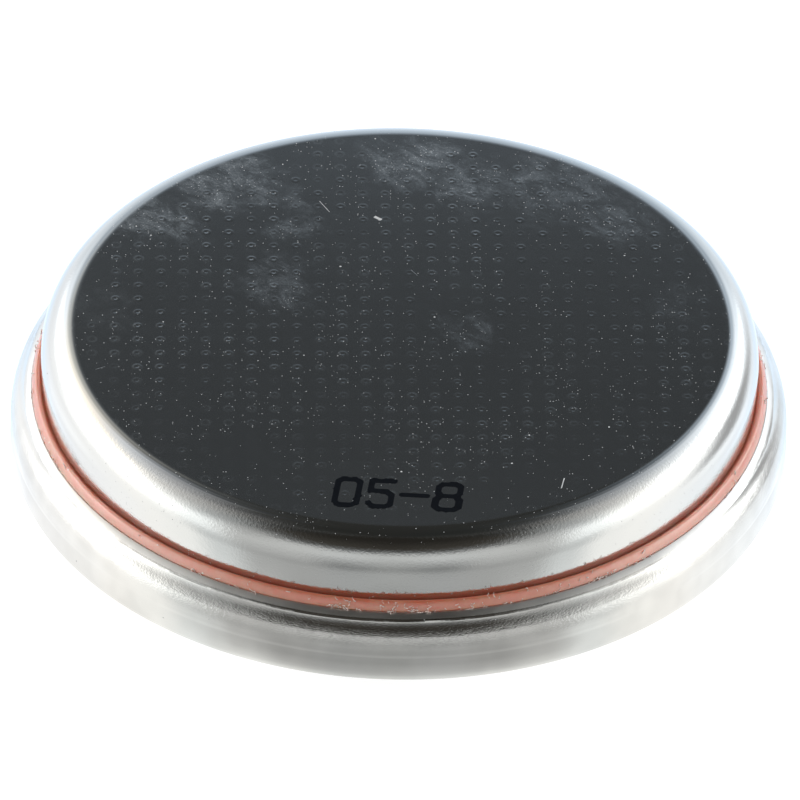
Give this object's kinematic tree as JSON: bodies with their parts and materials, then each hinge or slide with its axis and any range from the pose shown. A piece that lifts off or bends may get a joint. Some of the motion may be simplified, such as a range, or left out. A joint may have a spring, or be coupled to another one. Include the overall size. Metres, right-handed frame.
{
  "type": "lithium coin cell",
  "caption": "Button-shaped battery cell: a crimped steel can and a proud steel cap, kept apart by a plastic gasket, with a flat terminal face above and below.",
  "frame": {"origin": "middle of the can's flat underside, the positive terminal, on which the cell lies", "axes": "+Z along the cell's axis, out of the negative cap; X and Y are alike round it"},
  "size_m": [0.0244, 0.0244, 0.0046],
  "materials": {
    "can_steel": "nickel-plated stainless steel, satin, with fine stretch marks on the crimp",
    "gasket_plastic": "salmon-orange moulded polypropylene, smooth",
    "cap_steel": "satin stainless steel with a grid of shallow dimples on the face",
    "cathode_mix": "pressed black powder, dull",
    "ring_steel": "plain rolled stainless steel",
    "separator_felt": "off-white non-woven felt",
    "lithium_metal": "dull silver rolled metal"
  },
  "bodies": {
    "root": {"positive_can": "can_steel", "sealing_gasket": "gasket_plastic", "negative_cap": "cap_steel", "cathode_pellet": "cathode_mix", "cathode_ring": "ring_steel", "separator": "separator_felt", "lithium_disc": "lithium_metal"}
  },
  "joints": []
}
